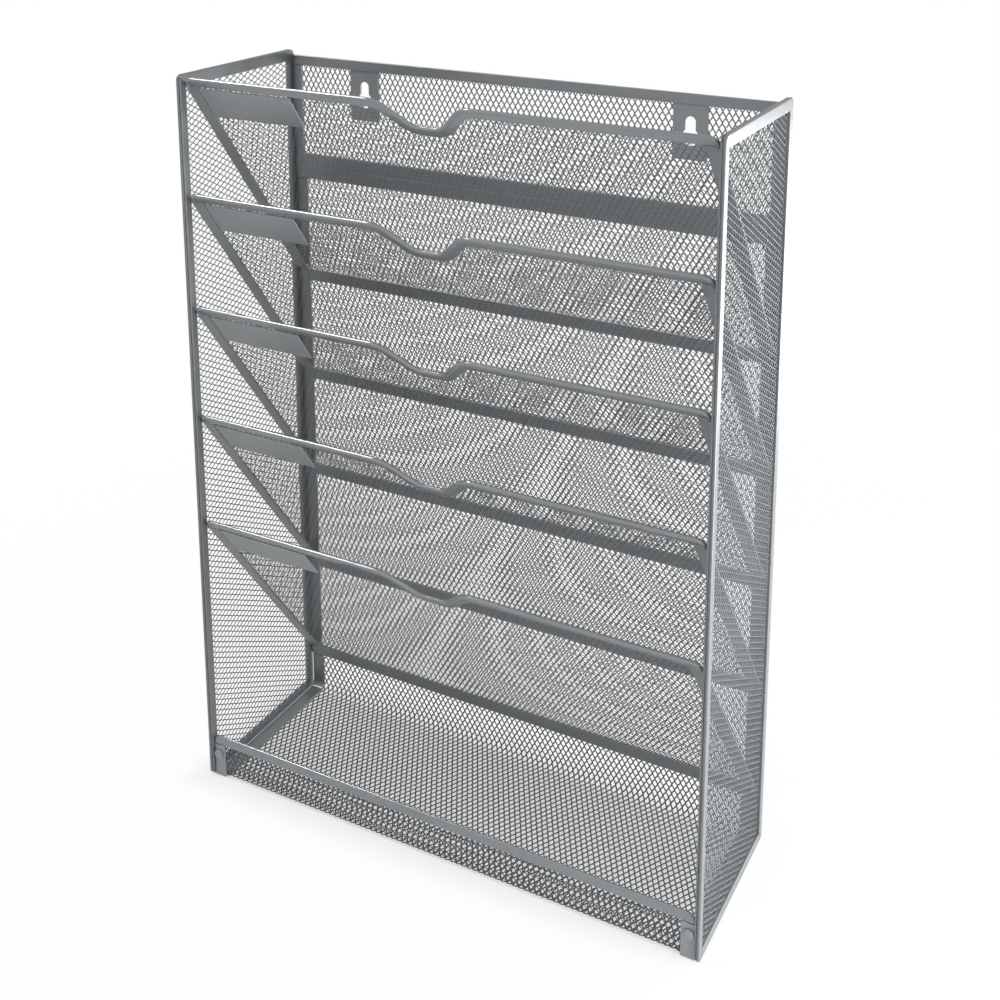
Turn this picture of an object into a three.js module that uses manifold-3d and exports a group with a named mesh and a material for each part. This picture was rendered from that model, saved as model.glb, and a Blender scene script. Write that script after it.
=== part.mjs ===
// A wall file organizer of painted expanded-steel mesh: two framed side panels, an upper back
// panel with two keyhole plates, five slanted file pockets and a shallow tray at the bottom.
// Millimetres, Z up. The front faces -Y, the wall is at +Y, and the origin is the middle of the
// footprint on the underside.
import * as THREE from 'three';
import { mergeVertices } from 'three/addons/utils/BufferGeometryUtils.js';
import Module from 'manifold-3d';

// Overall size
const width = 325;
const depth = 105;
const height = 445;

// Sheet and strip thicknesses, and the small gaps between neighbouring pieces
const meshThickness = 0.6;
const hemThickness = 1.6;
const railThickness = 2;
const seam = 0.15;
const tierClearance = 0.2;

// A coarse grid of openings stands for the far finer ones of the expanded mesh
const openingShare = 0.72;
const gridMargin = 3;

// Side panels
const sidePanelThickness = 3.1;
const stileDepth = 5;
const sideTopRailHeight = 7;
const sideBottomRailHeight = 5;
const frameCornerRadius = 3;
const sideGridColumns = 2;
const sideGridRows = 12;

// Upper back panel
const backTopSetdown = 3.5;
const backTopRailHeight = 6;
const backStileWidth = 6.5;
const backGridRows = 2;

// Strips that bind the mesh edges of the pockets and the tray
const hemWidth = 7.5;
const tierGap = 0.6;
const tierGridColumns = 8;

// Pockets
const pocketCount = 5;
const topRimSetdown = 1.5;
const slantDrop = 140;
const lowestFootLevel = 33.5;
const footSharpOffset = 3.5;
const footBendRadius = 2;
const rimSetback = 1.2;
const rimStripHeight = 6.2;
const rimCornerRadius = 5;
const notchWidth = 50.6;
const notchBottomWidth = 17.4;
const notchDepth = 18;
const notchShoulderRadius = 14;
const notchBottomRadius = 10;
const notchCentre = -5;
const notchLead = 15;
const slopeGridRows = 5;
const flangeGridRows = 2;
const footGridClearance = 5;

// Label plates
const labelWidth = 62;
const labelHeight = 22.5;
const labelThickness = 0.8;
const labelSideOffset = 13.2;
const labelTopGap = 0.8;

// Keyhole plates
const hangerWidth = 20.5;
const hangerHeight = 31;
const hangerThickness = 1.4;
const hangerSideOffset = 56.5;
const keyholeSlotWidth = 6;
const keyholeRoundDiameter = 10;
const keyholeTopOffset = 6.5;
const keyholeRoundOffset = 18.2;

// Tray
const lipTop = 27.8;
const lipStripHeight = 6.2;
const lipSetback = 1.6;
const tabWidth = 8;
const trayFrontBendRadius = 1.6;
const trayBackBendRadius = 5;
const trayHemWidth = 9.7;
const trayGridRows = 3;
const trayWallGridColumns = 12;

// Screws
const screwHeadDiameter = 7;
const screwHeadHeight = 1.5;
const screwShankDiameter = 3;
const screwLevel = 15;
const screwLength = 4;
const screwClearance = 0.2;

// Derived levels and planes
const left = -width / 2;
const right = width / 2;
const front = -depth / 2;
const back = depth / 2;
const tierLeft = left + sidePanelThickness + tierClearance;
const tierRight = right - sidePanelThickness - tierClearance;
const backPlane = back - railThickness / 2;
const topFootLevel = height - topRimSetdown - slantDrop;
const pocketPitch = (topFootLevel - lowestFootLevel) / (pocketCount - 1);
const lipPlane = front + lipSetback + hemThickness / 2;

const wasm = await Module();
wasm.setup();

function toSolid(geometry) {
  const bare = geometry.clone();
  bare.deleteAttribute('normal');
  bare.deleteAttribute('uv');
  const merged = mergeVertices(bare, 1e-4);
  return new wasm.Manifold(
    new wasm.Mesh({
      numProp: 3,
      vertProperties: new Float32Array(merged.attributes.position.array),
      triVerts: new Uint32Array(merged.index.array),
    }),
  );
}

function toGeometry(solid) {
  const mesh = solid.getMesh();
  const geometry = new THREE.BufferGeometry();
  geometry.setAttribute('position', new THREE.BufferAttribute(mesh.vertProperties, 3));
  geometry.setIndex(new THREE.BufferAttribute(mesh.triVerts, 1));
  geometry.computeVertexNormals();
  return geometry;
}

// A flat outline given as points, pushed out along its own normal.
function prism(points, thickness) {
  const shape = new THREE.Shape(points);
  return new THREE.ExtrudeGeometry(shape, { depth: thickness, bevelEnabled: false });
}

// A prism whose outline lies in the YZ plane and that runs from one X to another.
function alongX(points, fromX, toX) {
  const turned = new THREE.Matrix4().makeBasis(
    new THREE.Vector3(0, 1, 0),
    new THREE.Vector3(0, 0, 1),
    new THREE.Vector3(1, 0, 0),
  );
  return prism(points, toX - fromX).applyMatrix4(turned).translate(fromX, 0, 0);
}

function box(fromX, toX, fromY, toY, fromZ, toZ) {
  const geometry = new THREE.BoxGeometry(toX - fromX, toY - fromY, toZ - fromZ);
  return geometry.translate((fromX + toX) / 2, (fromY + toY) / 2, (fromZ + toZ) / 2);
}

// The points of a path with each inner corner replaced by an arc of the given radius.
function roundedPath(corners, radii, steps = 6) {
  const points = [corners[0].clone()];
  for (let i = 1; i < corners.length - 1; i += 1) {
    const toLast = corners[i - 1].clone().sub(corners[i]).normalize();
    const toNext = corners[i + 1].clone().sub(corners[i]).normalize();
    const halfAngle = Math.acos(toLast.dot(toNext)) / 2;
    const radius = radii[i - 1];
    const bisector = toLast.clone().add(toNext).normalize();
    const centre = corners[i].clone().addScaledVector(bisector, radius / Math.sin(halfAngle));
    const tangentLength = radius / Math.tan(halfAngle);
    const start = corners[i].clone().addScaledVector(toLast, tangentLength).sub(centre);
    const end = corners[i].clone().addScaledVector(toNext, tangentLength).sub(centre);
    let turn = end.angle() - start.angle();
    if (turn > Math.PI) turn -= 2 * Math.PI;
    if (turn < -Math.PI) turn += 2 * Math.PI;
    for (let k = 0; k <= steps; k += 1) {
      const angle = start.angle() + (turn * k) / steps;
      points.push(new THREE.Vector2(Math.cos(angle), Math.sin(angle)).multiplyScalar(radius).add(centre));
    }
  }
  points.push(corners[corners.length - 1].clone());
  return points;
}

// The closed outline of a strip of even thickness whose middle follows a path.
function stripOutline(path, thickness) {
  const oneSide = [];
  const otherSide = [];
  path.forEach((point, i) => {
    const before = path[Math.max(i - 1, 0)];
    const after = path[Math.min(i + 1, path.length - 1)];
    const into = point.clone().sub(before).normalize();
    const out = after.clone().sub(point).normalize();
    const along = into.add(out).normalize();
    const stepAlong = after.clone().sub(before).normalize();
    const widening = 1 / Math.max(Math.abs(along.dot(stepAlong)), 0.7);
    const offset = new THREE.Vector2(-along.y, along.x).multiplyScalar((thickness / 2) * widening);
    oneSide.push(point.clone().add(offset));
    otherSide.unshift(point.clone().sub(offset));
  });
  return oneSide.concat(otherSide);
}

// Lays an outline drawn as X against Z upright, as a plate from one Y to another.
function alongY(points, fromY, toY) {
  const turned = new THREE.Matrix4().makeBasis(
    new THREE.Vector3(1, 0, 0),
    new THREE.Vector3(0, 0, 1),
    new THREE.Vector3(0, -1, 0),
  );
  return prism(points, toY - fromY).applyMatrix4(turned).translate(0, toY, 0);
}

// The outlines of a grid of openings over the area between two corners.
function gridOutlines(fromU, toU, fromV, toV, columns, rows) {
  const cellU = (toU - fromU - 2 * gridMargin) / columns;
  const cellV = (toV - fromV - 2 * gridMargin) / rows;
  const halfU = (cellU * openingShare) / 2;
  const halfV = (cellV * openingShare) / 2;
  const outlines = [];
  for (let column = 0; column < columns; column += 1) {
    for (let row = 0; row < rows; row += 1) {
      const u = fromU + gridMargin + (column + 0.5) * cellU;
      const v = fromV + gridMargin + (row + 0.5) * cellV;
      outlines.push([
        new THREE.Vector2(u - halfU, v - halfV),
        new THREE.Vector2(u + halfU, v - halfV),
        new THREE.Vector2(u + halfU, v + halfV),
        new THREE.Vector2(u - halfU, v + halfV),
      ]);
    }
  }
  return outlines;
}

// One solid of all the openings, each laid in its sheet's plane by the given function.
function gridSolid(outlines, lay) {
  return wasm.Manifold.union(outlines.map((outline) => toSolid(lay(outline))));
}

const steel = new THREE.Color(0.44, 0.46, 0.47);
const group = new THREE.Group();
group.name = 'wall_file_organizer';

function addPiece(parent, name, geometry) {
  const material = new THREE.MeshStandardMaterial({ color: steel, metalness: 0.4, roughness: 0.45 });
  const mesh = new THREE.Mesh(geometry, material);
  mesh.name = name;
  parent.add(mesh);
}

// Side panels: a flat mesh sheet in a frame of four strips that meet in mitres
function frameOutline() {
  const quarter = 4;
  const corners = [
    [back, 0, 1, -1],
    [back, height, 1, 1],
    [front, height, -1, 1],
    [front, 0, -1, -1],
  ];
  const points = [];
  corners.forEach(([y, z, sideY, sideZ]) => {
    const centre = new THREE.Vector2(y - sideY * frameCornerRadius, z - sideZ * frameCornerRadius);
    const startAngle = Math.atan2(sideZ, sideY) - Math.PI / 4;
    for (let k = 0; k <= quarter; k += 1) {
      const angle = startAngle + ((Math.PI / 2) * k) / quarter;
      const reach = new THREE.Vector2(Math.cos(angle), Math.sin(angle));
      points.push(reach.multiplyScalar(frameCornerRadius).add(centre));
    }
  });
  return points;
}

function addSidePanel(side, fromX) {
  const toX = fromX + sidePanelThickness;
  const innerFront = front + stileDepth;
  const innerBack = back - stileDepth;
  const innerBottom = sideBottomRailHeight;
  const innerTop = height - sideTopRailHeight;
  const outer = toSolid(alongX(frameOutline(), fromX, toX));
  const inner = toSolid(box(fromX - 1, toX + 1, innerFront, innerBack, innerBottom, innerTop));
  const ring = outer.subtract(inner);
  const halfSeam = seam / 2;
  // Each wedge holds one strip of the frame and ends on the mitre lines.
  const wedge = (points) => {
    const outline = points.map(([y, z]) => new THREE.Vector2(y, z));
    return toSolid(alongX(outline, fromX - 1, toX + 1));
  };
  const frontStile = wedge([
    [front, halfSeam],
    [innerFront, innerBottom + halfSeam],
    [innerFront, innerTop - halfSeam],
    [front, height - halfSeam],
  ]);
  const backStile = wedge([
    [back, height - halfSeam],
    [innerBack, innerTop - halfSeam],
    [innerBack, innerBottom + halfSeam],
    [back, halfSeam],
  ]);
  const topRail = wedge([
    [front + halfSeam, height],
    [innerFront + halfSeam, innerTop],
    [innerBack - halfSeam, innerTop],
    [back - halfSeam, height],
  ]);
  const bottomRail = wedge([
    [back - halfSeam, 0],
    [innerBack - halfSeam, innerBottom],
    [innerFront + halfSeam, innerBottom],
    [front + halfSeam, 0],
  ]);
  addPiece(group, `${side}_front_stile`, toGeometry(ring.intersect(frontStile)));
  addPiece(group, `${side}_back_stile`, toGeometry(ring.intersect(backStile)));
  addPiece(group, `${side}_top_rail`, toGeometry(ring.intersect(topRail)));
  addPiece(group, `${side}_bottom_rail`, toGeometry(ring.intersect(bottomRail)));
  const middle = (fromX + toX) / 2;
  const sheet = toSolid(
    box(
      middle - meshThickness / 2,
      middle + meshThickness / 2,
      innerFront + seam,
      innerBack - seam,
      innerBottom + seam,
      innerTop - seam,
    ),
  );
  const openings = gridSolid(
    gridOutlines(innerFront, innerBack, innerBottom, innerTop, sideGridColumns, sideGridRows),
    (outline) => alongX(outline, fromX - 1, toX + 1),
  );
  addPiece(group, `${side}_mesh`, toGeometry(sheet.subtract(openings)));
}

addSidePanel('side_left', left);
addSidePanel('side_right', right - sidePanelThickness);

// Upper back panel: a mesh sheet with a frame, and two keyhole plates let into it
const backPanelTop = height - backTopSetdown;
const backPanelBottom = topFootLevel + pocketPitch + tierGap;
const backRailBottom = backPanelTop - backTopRailHeight;
const backHemTop = backPanelBottom + hemWidth;
const railFront = back - railThickness;

function uprightPlate(fromX, toX, fromZ, toZ) {
  return box(fromX, toX, railFront, back, fromZ, toZ);
}

addPiece(group, 'back_top_rail', uprightPlate(tierLeft, tierRight, backRailBottom, backPanelTop));
addPiece(group, 'back_bottom_hem', uprightPlate(tierLeft, tierRight, backPanelBottom, backHemTop));
addPiece(
  group,
  'back_left_stile',
  uprightPlate(tierLeft, tierLeft + backStileWidth, backHemTop + seam, backRailBottom - seam),
);
addPiece(
  group,
  'back_right_stile',
  uprightPlate(tierRight - backStileWidth, tierRight, backHemTop + seam, backRailBottom - seam),
);

const hangerTop = backRailBottom - seam;
const hangerBottom = hangerTop - hangerHeight;
const hangers = [
  ['hanger_left', left + hangerSideOffset],
  ['hanger_right', right - hangerSideOffset],
];

let backOpenings = gridSolid(
  gridOutlines(
    tierLeft + backStileWidth,
    tierRight - backStileWidth,
    backHemTop,
    backRailBottom,
    tierGridColumns,
    backGridRows,
  ),
  (outline) => alongY(outline, railFront - 1, back + 1),
);
let backSheet = toSolid(
  box(
    tierLeft + backStileWidth + seam,
    tierRight - backStileWidth - seam,
    backPlane - meshThickness / 2,
    backPlane + meshThickness / 2,
    backHemTop + seam,
    backRailBottom - seam,
  ),
);
hangers.forEach(([name, centreX]) => {
  const fromX = centreX - hangerWidth / 2;
  const toX = centreX + hangerWidth / 2;
  const plate = toSolid(box(fromX, toX, back - hangerThickness, back, hangerBottom, hangerTop));
  const roundLevel = hangerTop - keyholeRoundOffset;
  const slotTop = hangerTop - keyholeTopOffset - keyholeSlotWidth / 2;
  const throughPlate = (diameter, level) => {
    const cylinder = new THREE.CylinderGeometry(diameter / 2, diameter / 2, railThickness * 3, 32);
    return toSolid(cylinder.translate(centreX, back - hangerThickness / 2, level));
  };
  const slot = toSolid(
    box(
      centreX - keyholeSlotWidth / 2,
      centreX + keyholeSlotWidth / 2,
      back - railThickness * 2,
      back + railThickness,
      roundLevel,
      slotTop,
    ),
  );
  const keyhole = slot
    .add(throughPlate(keyholeSlotWidth, slotTop))
    .add(throughPlate(keyholeRoundDiameter, roundLevel));
  addPiece(group, name, toGeometry(plate.subtract(keyhole)));
  const aroundPlate = (margin) =>
    toSolid(
      box(
        fromX - margin,
        toX + margin,
        back - railThickness * 2,
        back + railThickness * 2,
        hangerBottom - margin,
        hangerTop + 1,
      ),
    );
  backSheet = backSheet.subtract(aroundPlate(seam));
  backOpenings = backOpenings.subtract(aroundPlate(gridMargin));
});
addPiece(group, 'back_mesh', toGeometry(backSheet.subtract(backOpenings)));

// Pockets: one mesh sheet bent at the foot, so that it slants down from the rim and then rises
// up the back. Side strips bind its edges, a strip with a finger notch binds the rim, and a
// straight one binds the back edge.
const rimPoint = new THREE.Vector2(front + rimSetback, slantDrop);
const footPoint = new THREE.Vector2(backPlane, -footSharpOffset);
const slant = footPoint.clone().sub(rimPoint).normalize();
const slopeLength = footPoint.distanceTo(rimPoint);
const flangeTop = pocketPitch - tierGap;
const flangeHemBottom = flangeTop - hemWidth;

// A point of the section that lies a given way down the slope from the rim.
function downSlope(distance) {
  return rimPoint.clone().addScaledVector(slant, distance);
}

function pocketSection(startDistance, topLevel, thickness) {
  const corners = [downSlope(startDistance), footPoint, new THREE.Vector2(backPlane, topLevel)];
  return stripOutline(roundedPath(corners, [footBendRadius]), thickness);
}

// The rim's line through the finger notch, or a line that runs beside it at an even distance.
function notchLine(distance) {
  const half = notchWidth / 2;
  const bottom = notchBottomWidth / 2;
  const corners = [
    new THREE.Vector2(-half - notchLead, 0),
    new THREE.Vector2(-half, 0),
    new THREE.Vector2(-bottom, notchDepth),
    new THREE.Vector2(bottom, notchDepth),
    new THREE.Vector2(half, 0),
    new THREE.Vector2(half + notchLead, 0),
  ];
  const normals = corners.slice(1).map((corner, i) => {
    const along = corner.clone().sub(corners[i]).normalize();
    return new THREE.Vector2(-along.y, along.x);
  });
  const beside = corners.map((corner, i) => {
    const before = normals[Math.max(i - 1, 0)];
    const after = normals[Math.min(i, normals.length - 1)];
    const shift = before.clone().add(after).multiplyScalar(distance / (1 + before.dot(after)));
    return corner.clone().add(shift).add(new THREE.Vector2(notchCentre, 0));
  });
  const shoulder = Math.max(notchShoulderRadius - distance, 1);
  const hollow = notchBottomRadius + distance;
  return roundedPath(beside, [shoulder, hollow, hollow, shoulder]);
}

// Takes an outline drawn as X against distance down the slope, and lays it on the slope as a
// plate that reaches from one height above the sheet's middle to another.
function onSlope(points, fromHeight, toHeight) {
  const downhill = new THREE.Vector3(0, slant.x, slant.y);
  const across = new THREE.Vector3(1, 0, 0);
  const upward = new THREE.Vector3().crossVectors(across, downhill);
  const plate = prism(points, toHeight - fromHeight).translate(0, 0, fromHeight);
  plate.applyMatrix4(new THREE.Matrix4().makeBasis(across, downhill, upward));
  return plate.translate(0, rimPoint.x, rimPoint.y);
}

function rimOutline() {
  const corner = (centreX, startAngle) => {
    const points = [];
    for (let k = 0; k <= 5; k += 1) {
      const angle = startAngle + ((Math.PI / 2) * k) / 5;
      const reach = new THREE.Vector2(Math.cos(angle), Math.sin(angle));
      points.push(reach.multiplyScalar(rimCornerRadius).add(new THREE.Vector2(centreX, rimCornerRadius)));
    }
    return points;
  };
  return [
    ...corner(tierLeft + rimCornerRadius, Math.PI),
    ...notchLine(0),
    ...corner(tierRight - rimCornerRadius, -Math.PI / 2),
    new THREE.Vector2(tierRight, rimStripHeight),
    ...notchLine(rimStripHeight).reverse(),
    new THREE.Vector2(tierLeft, rimStripHeight),
  ];
}

// All that lies above a line beside the rim, within reach of the notch.
function aboveNotchLine(distance) {
  const line = notchLine(distance);
  const outline = [
    ...line,
    new THREE.Vector2(line[line.length - 1].x, -hemWidth),
    new THREE.Vector2(line[0].x, -hemWidth),
  ].reverse();
  return toSolid(onSlope(outline, -railThickness * 2, railThickness * 2));
}

function addPocket(number) {
  const pocket = new THREE.Group();
  pocket.position.z = topFootLevel - (number - 1) * pocketPitch;
  group.add(pocket);
  const name = `pocket_${number}`;
  const edge = rimStripHeight + seam;
  const sheetLeft = tierLeft + hemWidth + seam;
  const sheetRight = tierRight - hemWidth - seam;

  const sheetSection = pocketSection(edge, flangeHemBottom - seam, meshThickness);
  const sheet = toSolid(alongX(sheetSection, sheetLeft, sheetRight));
  const slopeOpenings = gridSolid(
    gridOutlines(
      sheetLeft,
      sheetRight,
      edge,
      slopeLength - footGridClearance,
      tierGridColumns,
      slopeGridRows,
    ),
    (outline) => onSlope(outline, -railThickness, railThickness),
  );
  const flangeOpenings = gridSolid(
    gridOutlines(sheetLeft, sheetRight, 0, flangeHemBottom, tierGridColumns, flangeGridRows),
    (outline) => alongY(outline, railFront - 1, back + 1),
  );
  const openSheet = sheet
    .subtract(slopeOpenings.subtract(aboveNotchLine(edge + gridMargin)))
    .subtract(flangeOpenings)
    .subtract(aboveNotchLine(edge));
  addPiece(pocket, `${name}_mesh`, toGeometry(openSheet));

  const rim = onSlope(rimOutline(), -railThickness / 2, railThickness / 2);
  addPiece(pocket, `${name}_rim`, rim);

  const hemSection = pocketSection(edge, flangeHemBottom - seam, hemThickness);
  addPiece(pocket, `${name}_left_hem`, alongX(hemSection, tierLeft, tierLeft + hemWidth));
  addPiece(pocket, `${name}_right_hem`, alongX(hemSection, tierRight - hemWidth, tierRight));
  addPiece(
    pocket,
    `${name}_back_hem`,
    uprightPlate(tierLeft, tierRight, flangeHemBottom, flangeTop),
  );

  const labelTop = rimStripHeight + labelTopGap;
  const labelLeft = left + labelSideOffset;
  const labelOutline = [
    new THREE.Vector2(labelLeft, labelTop),
    new THREE.Vector2(labelLeft + labelWidth, labelTop),
    new THREE.Vector2(labelLeft + labelWidth, labelTop + labelHeight),
    new THREE.Vector2(labelLeft, labelTop + labelHeight),
  ];
  const labelBack = -meshThickness / 2 - seam;
  const label = onSlope(labelOutline, labelBack - labelThickness, labelBack);
  addPiece(pocket, `${name}_label_plate`, label);
}

for (let number = 1; number <= pocketCount; number += 1) addPocket(number);

// Tray: a mesh sheet bent up at the front and the back, bound by strips, with a lip at the
// front whose two end tabs take the screws
const floorPlane = hemThickness / 2;
const trayBackTop = lowestFootLevel - tierGap / 2;
const trayHemBottom = trayBackTop - hemWidth;
const lipBottom = lipTop - lipStripHeight;
const tabLeftEnd = tierLeft + tabWidth;
const tabRightEnd = tierRight - tabWidth;

function traySection(corners, radii, thickness) {
  return stripOutline(roundedPath(corners, radii), thickness);
}

const sheetCorners = [
  new THREE.Vector2(lipPlane, lipBottom - seam),
  new THREE.Vector2(lipPlane, floorPlane),
  new THREE.Vector2(backPlane, floorPlane),
  new THREE.Vector2(backPlane, trayHemBottom - seam),
];
const traySheet = traySection(
  sheetCorners,
  [trayFrontBendRadius, trayBackBendRadius],
  meshThickness,
);
// The sheet is narrower between the tabs than between the floor strips, so its front is cut.
const wideSheet = toSolid(alongX(traySheet, tierLeft + tabWidth + seam, tierRight - tabWidth - seam));
const hemInnerLeft = tierLeft + trayHemWidth + seam;
const hemInnerRight = tierRight - trayHemWidth - seam;
const behindTabs = lipPlane + hemThickness / 2 + seam;
const leftTrim = toSolid(box(tierLeft, hemInnerLeft, behindTabs, back + 1, -1, lipTop + hemWidth));
const rightTrim = toSolid(box(hemInnerRight, tierRight, behindTabs, back + 1, -1, lipTop + hemWidth));
const floorOpenings = gridSolid(
  gridOutlines(
    hemInnerLeft,
    hemInnerRight,
    behindTabs,
    backPlane - trayBackBendRadius,
    tierGridColumns,
    trayGridRows,
  ),
  (outline) => prism(outline, hemThickness * 3).translate(0, 0, -hemThickness),
);

// One row of openings in a rising wall of the tray, between two levels.
function wallOpenings(fromZ, toZ, fromY, toY) {
  return gridSolid(
    gridOutlines(hemInnerLeft, hemInnerRight, fromZ, toZ, trayWallGridColumns, 1),
    (outline) => alongY(outline, fromY, toY),
  );
}

const frontOpenings = wallOpenings(
  floorPlane + trayFrontBendRadius,
  lipBottom - seam,
  front - 1,
  behindTabs,
);
const rearOpenings = wallOpenings(
  floorPlane + trayBackBendRadius,
  trayHemBottom - seam,
  railFront - 1,
  back + 1,
);
const trayCuts = [leftTrim, rightTrim, floorOpenings, frontOpenings, rearOpenings];
const traySolid = wideSheet.subtract(wasm.Manifold.union(trayCuts));
addPiece(group, 'tray_mesh', toGeometry(traySolid));

const trayHemSection = traySection(
  [
    new THREE.Vector2(behindTabs, floorPlane),
    new THREE.Vector2(backPlane, floorPlane),
    new THREE.Vector2(backPlane, trayHemBottom - seam),
  ],
  [trayBackBendRadius],
  hemThickness,
);
addPiece(group, 'tray_left_hem', alongX(trayHemSection, tierLeft, tierLeft + trayHemWidth));
addPiece(group, 'tray_right_hem', alongX(trayHemSection, tierRight - trayHemWidth, tierRight));
addPiece(group, 'tray_back_hem', uprightPlate(tierLeft, tierRight, trayHemBottom, trayBackTop));

const lipFront = lipPlane - hemThickness / 2;
const lipRear = lipPlane + hemThickness / 2;
addPiece(group, 'tray_lip_rail', box(tierLeft, tierRight, lipFront, lipRear, lipBottom, lipTop));

const screwPlaces = [(tierLeft + tabLeftEnd) / 2, (tierRight + tabRightEnd) / 2];
const tabs = [
  ['tray_left_tab', tierLeft, tabLeftEnd],
  ['tray_right_tab', tabRightEnd, tierRight],
];
tabs.forEach(([name, fromX, toX], i) => {
  const tab = toSolid(box(fromX, toX, lipFront, lipRear, 0, lipBottom - seam));
  const holeRadius = screwShankDiameter / 2 + screwClearance;
  const hole = new THREE.CylinderGeometry(holeRadius, holeRadius, hemThickness * 3, 24);
  hole.translate(screwPlaces[i], lipPlane, screwLevel);
  addPiece(group, name, toGeometry(tab.subtract(toSolid(hole))));
});

// Screws: a shallow domed head on a short shank that passes through the tab
function screwGeometry() {
  const headRadius = screwHeadDiameter / 2;
  const shankRadius = screwShankDiameter / 2;
  const crown = screwHeadHeight * 0.55;
  const profile = [
    new THREE.Vector2(0, -screwLength),
    new THREE.Vector2(shankRadius, -screwLength),
    new THREE.Vector2(shankRadius, 0),
    new THREE.Vector2(headRadius, 0),
    new THREE.Vector2(headRadius, screwHeadHeight - crown),
  ];
  for (let k = 1; k <= 4; k += 1) {
    const angle = ((Math.PI / 2) * k) / 4;
    const radius = k === 4 ? 0 : headRadius * Math.cos(angle);
    profile.push(new THREE.Vector2(radius, screwHeadHeight - crown + crown * Math.sin(angle)));
  }
  return new THREE.LatheGeometry(profile, 24).rotateX(Math.PI);
}

['tray_left_screw', 'tray_right_screw'].forEach((name, i) => {
  addPiece(group, name, screwGeometry().translate(screwPlaces[i], lipFront - 0.05, screwLevel));
});

export default group;
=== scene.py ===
import math
import bpy
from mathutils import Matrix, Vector


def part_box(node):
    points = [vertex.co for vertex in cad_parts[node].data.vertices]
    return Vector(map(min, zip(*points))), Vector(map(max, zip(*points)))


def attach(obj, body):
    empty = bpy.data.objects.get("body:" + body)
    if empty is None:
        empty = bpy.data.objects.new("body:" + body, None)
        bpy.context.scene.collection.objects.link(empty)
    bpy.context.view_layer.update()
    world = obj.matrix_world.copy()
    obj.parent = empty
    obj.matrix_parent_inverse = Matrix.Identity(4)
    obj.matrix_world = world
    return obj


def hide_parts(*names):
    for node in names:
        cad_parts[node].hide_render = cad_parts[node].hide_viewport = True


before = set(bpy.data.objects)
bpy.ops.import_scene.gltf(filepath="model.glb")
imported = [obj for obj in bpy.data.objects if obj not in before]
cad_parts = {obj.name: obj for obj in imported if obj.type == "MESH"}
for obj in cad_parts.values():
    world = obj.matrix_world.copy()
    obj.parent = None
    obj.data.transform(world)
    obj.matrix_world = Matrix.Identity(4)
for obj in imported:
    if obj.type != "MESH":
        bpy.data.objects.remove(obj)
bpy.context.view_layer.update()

# The camera stands to the right of the organizer and above its top, and looks down at it. The
# lens is shifted, as in the picture, so the uprights stay nearly parallel.
scene = bpy.context.scene
scene.view_settings.view_transform = "Standard"
bpy.ops.object.camera_add(
    location=(0.3645, -0.6395, 0.5849),
    rotation=(math.radians(78.075), math.radians(-0.300), math.radians(26.913)),
)
camera = bpy.context.object
camera.name = "camera"
camera.data.lens = 49.73
camera.data.sensor_width = 36
camera.data.shift_x = -0.0409
camera.data.shift_y = -0.3867
scene.camera = camera

# The ground is a white sheet that runs out of sight, and the room is white to the camera and in
# reflections. Four soft lamps light the organizer: a strip and a card brighten the right panel, a
# softbox high on the left puts the bright line on the rims, and a broad fill stands in front.


class Wire:
    """One shader socket. Sums and products of wires and numbers add Math nodes."""

    def __init__(self, tree, socket=None):
        self.tree = tree
        self.socket = socket

    def node(self, kind, settings, inputs, output=0):
        """Adds a node, sets it up, fills its inputs, and gives the wire of one of its outputs."""
        made = self.tree.nodes.new(kind)
        for name, value in settings.items():
            setattr(made, name, value)
        for name, value in inputs.items():
            if isinstance(value, Wire):
                self.tree.links.new(value.socket, made.inputs[name])
            else:
                made.inputs[name].default_value = value
        return Wire(self.tree, made.outputs[output])

    def maths(self, operation, *values):
        return self.node("ShaderNodeMath", {"operation": operation}, dict(enumerate(values)))

    def __add__(self, other):
        return self.maths("ADD", self, other)

    def __sub__(self, other):
        return self.maths("SUBTRACT", self, other)

    def __rsub__(self, other):
        return self.maths("SUBTRACT", other, self)

    def __mul__(self, other):
        return self.maths("MULTIPLY", self, other)

    __radd__ = __add__
    __rmul__ = __mul__


def bare_tree(owner, output_kind):
    """Empties a material's or world's node tree and gives a starting wire and its output node."""
    owner.use_nodes = True
    owner.node_tree.nodes.clear()
    return Wire(owner.node_tree), owner.node_tree.nodes.new(output_kind)


def white_to_rays(start):
    """1 for camera, glossy and transmission rays, 0 for the light that falls on the object."""
    camera_ray = start.node("ShaderNodeLightPath", {}, {}, "Is Camera Ray")
    glossy_ray = start.node("ShaderNodeLightPath", {}, {}, "Is Glossy Ray")
    clear_ray = start.node("ShaderNodeLightPath", {}, {}, "Is Transmission Ray")
    seen = camera_ray.maths("MAXIMUM", camera_ray, glossy_ray)
    return seen.maths("MAXIMUM", seen, clear_ray)


def deselect_all():
    for chosen in bpy.context.selected_objects:
        chosen.select_set(False)


room = bpy.data.worlds.new("white_room")
scene.world = room
start, output = bare_tree(room, "ShaderNodeOutputWorld")
room_light = 0.30
strength = white_to_rays(start) * (1 - room_light) + room_light
sky = start.node("ShaderNodeBackground", {}, {"Color": (1, 1, 1, 1), "Strength": strength})
room.node_tree.links.new(sky.socket, output.inputs["Surface"])

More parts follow.
